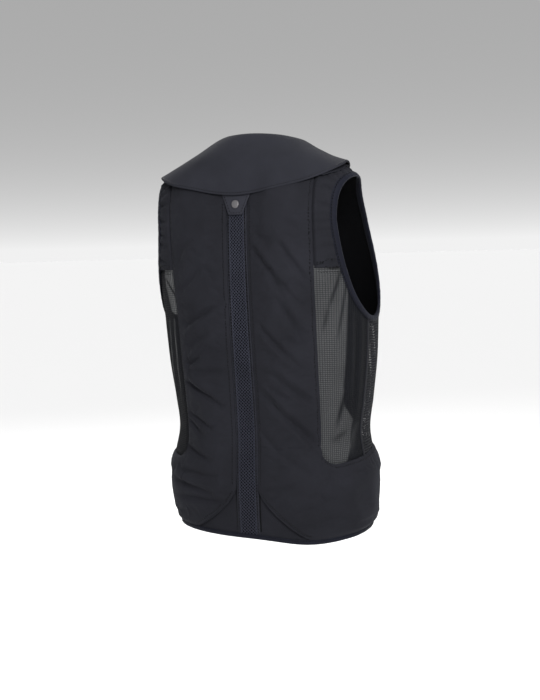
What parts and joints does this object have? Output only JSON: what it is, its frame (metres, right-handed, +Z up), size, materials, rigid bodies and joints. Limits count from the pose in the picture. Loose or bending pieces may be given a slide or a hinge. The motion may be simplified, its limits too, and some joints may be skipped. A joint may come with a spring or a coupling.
{
  "type": "airbag vest",
  "caption": "Sleeveless airbag vest in its worn shape, with padded back panels and hip band, mesh spine strip, sides and front, bound armholes and hem, and a cape collar with a snap tab.",
  "frame": {"origin": "shoulder seat: level with the middle of the shoulder seams, on the centre plane, between front and back", "axes": "+Z up the wearer's body, +Y towards the wearer's back, +X to the wearer's left"},
  "size_m": [0.3684, 0.2585, 0.6538],
  "materials": {
    "softshell": "matt charcoal-navy softshell with a fine dense weave",
    "collar_shell": "matt charcoal softshell, smooth and stiff",
    "side_mesh": "see-through dark grey grid mesh",
    "front_mesh": "black diamond-hole mesh",
    "spine_mesh": "navy diamond spacer mesh",
    "border_tape": "stitched dark tape",
    "binding": "ribbed navy binding tape",
    "zip": "black zip tape with a nylon coil",
    "snap": "satin grey snap cap"
  },
  "bodies": {
    "root": {"back_panel_left": "softshell", "back_panel_right": "softshell", "hem_panel_left": "softshell", "hem_panel_right": "softshell", "shoulder_panel_left": "softshell", "shoulder_panel_right": "softshell", "side_mesh_left": "side_mesh", "side_mesh_right": "side_mesh", "front_panel_left": "front_mesh", "front_panel_right": "front_mesh", "armhole_binding_left": "binding", "armhole_binding_right": "binding", "hem_binding": "binding", "spine_border_left": "border_tape", "spine_border_right": "border_tape", "spine_mesh": "spine_mesh", "front_zip": "zip", "collar": "collar_shell", "collar_tab": "softshell", "snap_button": "snap"}
  },
  "joints": []
}
